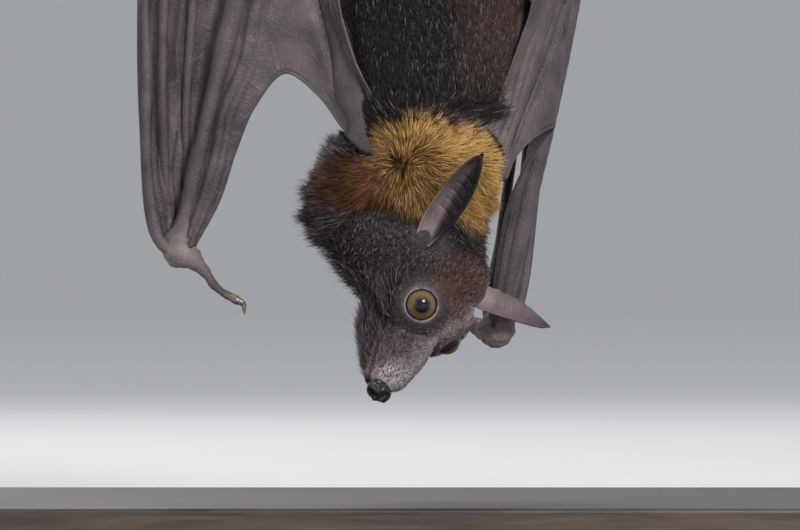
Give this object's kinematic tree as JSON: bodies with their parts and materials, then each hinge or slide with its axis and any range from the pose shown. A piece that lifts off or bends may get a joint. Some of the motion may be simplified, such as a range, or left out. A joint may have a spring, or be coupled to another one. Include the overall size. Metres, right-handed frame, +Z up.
{
  "type": "fruit bat",
  "caption": "Flying fox, a large fruit bat, hanging head-down by its feet from a cut branch, one wing half open, head turned, on a flat base with upright rods.",
  "frame": {"origin": "centre of the stand's underside, on the floor", "axes": "+Z up, the bat's back faces -Y and its right side is -X; it hangs head-down from a branch that runs along X"},
  "size_m": [0.36, 0.22, 0.4262],
  "materials": {
    "head_fur": "short dark brown fur",
    "mantle_fur": "long golden fur",
    "back_fur": "short glossy black-brown fur",
    "membrane": "thin dark leathery skin",
    "ear_skin": "bare grey-pink skin",
    "nose_skin": "moist black skin",
    "foot_skin": "dark scaly skin",
    "eye": "glossy wet eye",
    "claw": "polished horn",
    "bark": "rough bark",
    "stand_base": "satin",
    "stand_steel": "brushed"
  },
  "bodies": {
    "root": {"head": "head_fur", "lower_jaw": "head_fur", "nose_pad": "nose_skin", "neck": "mantle_fur", "thorax": "back_fur", "abdomen": "back_fur", "eye_right": "eye", "ear_right": "ear_skin", "upper_arm_right": "membrane", "forearm_right": "membrane", "thigh_right": "back_fur", "shank_right": "back_fur", "foot_right": "foot_skin", "wrist_right": "membrane", "thumb_right": "membrane", "thumb_claw_right": "claw", "finger_2_right": "membrane", "finger_3_right": "membrane", "finger_4_right": "membrane", "finger_5_right": "membrane", "hand_panel_1_right": "membrane", "hand_panel_2_right": "membrane", "hand_panel_3_right": "membrane", "propatagium_right": "membrane", "plagiopatagium_right": "membrane", "stand_rod_right": "stand_steel", "eye_left": "eye", "ear_left": "ear_skin", "upper_arm_left": "membrane", "forearm_left": "membrane", "thigh_left": "back_fur", "shank_left": "back_fur", "foot_left": "foot_skin", "wrist_left": "membrane", "thumb_left": "membrane", "thumb_claw_left": "claw", "finger_2_left": "membrane", "finger_3_left": "membrane", "finger_4_left": "membrane", "finger_5_left": "membrane", "hand_panel_1_left": "membrane", "hand_panel_2_left": "membrane", "hand_panel_3_left": "membrane", "propatagium_left": "membrane", "plagiopatagium_left": "membrane", "stand_rod_left": "stand_steel", "perch_branch": "bark", "stand_base": "stand_base"}
  },
  "joints": []
}
